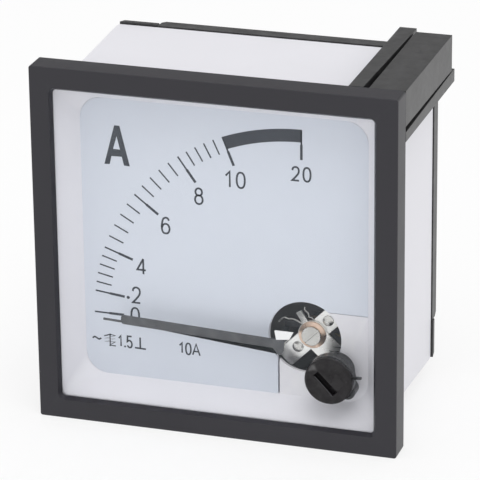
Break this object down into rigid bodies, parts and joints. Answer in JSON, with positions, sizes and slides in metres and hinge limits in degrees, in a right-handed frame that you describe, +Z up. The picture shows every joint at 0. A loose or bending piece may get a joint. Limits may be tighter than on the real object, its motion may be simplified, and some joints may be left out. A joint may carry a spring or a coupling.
{
  "type": "analog panel meter",
  "caption": "Square panel ammeter: quadrant scale and pointer behind a clear pane, moving-iron movement, zero adjuster, slide-on rear clamps and screw terminals.",
  "frame": {"origin": "on the meter's axis, in the plane of the bezel's rear face, which lies on the panel", "axes": "+X to the right and +Z up as the scale is read, +Y backwards through the panel"},
  "size_m": [0.072, 0.0543, 0.072],
  "materials": {
    "bezel_black": "moulded, semi-matt",
    "pane_clear": "clear, polished",
    "case_white": "moulded, satin white",
    "scale_plate": "satin, printed",
    "plated_steel": "nickel plated",
    "copper": "bright copper",
    "brass": "turned",
    "pointer_grey": "painted dark grey",
    "knob_black": "moulded, semi-matt",
    "iron": "annealed sheet",
    "bobbin_white": "moulded",
    "clamp_black": "moulded, matt"
  },
  "bodies": {
    "base": {"bezel": "bezel_black", "window_pane": "pane_clear", "case": "case_white", "dial_plate": "scale_plate", "front_jewel_screw": "plated_steel", "lever_washer": "copper", "front_bridge": "plated_steel", "bridge_posts": "brass", "movement_plate": "plated_steel", "fixed_iron": "iron", "coil_bobbin": "bobbin_white", "coil_winding": "copper", "coil_leads": "copper", "rear_jewel_screw": "brass", "rear_lock_nut": "brass", "movement_screws": "plated_steel", "rear_cover": "case_white", "cover_screws": "plated_steel", "terminal_studs": "brass", "terminal_tags": "brass", "lock_nuts": "brass", "lower_washers": "brass", "upper_washers": "brass", "spring_washers": "plated_steel", "terminal_nuts": "brass"},
    "zero_adjuster": {"zero_adjuster": "knob_black"},
    "zero_lever": {"zero_lever": "plated_steel", "hairspring": "copper"},
    "moving_element": {"pointer": "pointer_grey", "pointer_bush": "brass", "balance_weight": "brass", "spindle": "plated_steel", "moving_iron": "iron", "hairspring_collet": "brass"},
    "clamp_top_right": {"clamp_top_right": "clamp_black"},
    "clamp_bottom_left": {"clamp_bottom_left": "clamp_black"}
  },
  "joints": [
    {"name": "adjuster_turn", "type": "hinge", "parent": "base", "child": "zero_adjuster", "pos_m": [0.02241, 0, -0.02186], "axis": [0, 1, 0], "range_deg": [-40, 40]},
    {"name": "lever_swing", "type": "hinge", "parent": "base", "child": "zero_lever", "pos_m": [0.0167, 0, -0.01655], "axis": [0, 1, 0], "range_deg": [-8.7, 8.7]},
    {"name": "pointer_turn", "type": "hinge", "parent": "zero_lever", "child": "moving_element", "pos_m": [0.0167, 0, -0.01655], "axis": [0, 1, 0], "range_deg": [-1.5, 91], "stiffness_Nm_per_rad": 0.00006},
    {"name": "clamp_top_right_slide", "type": "slide", "parent": "base", "child": "clamp_top_right", "axis": [0, 1, 0], "range_m": [0, 0.028]},
    {"name": "clamp_bottom_left_slide", "type": "slide", "parent": "base", "child": "clamp_bottom_left", "axis": [0, 1, 0], "range_m": [0, 0.028]}
  ],
  "couplings": [
    {"joint": "lever_swing", "follows": "adjuster_turn", "ratio": -0.215}
  ]
}
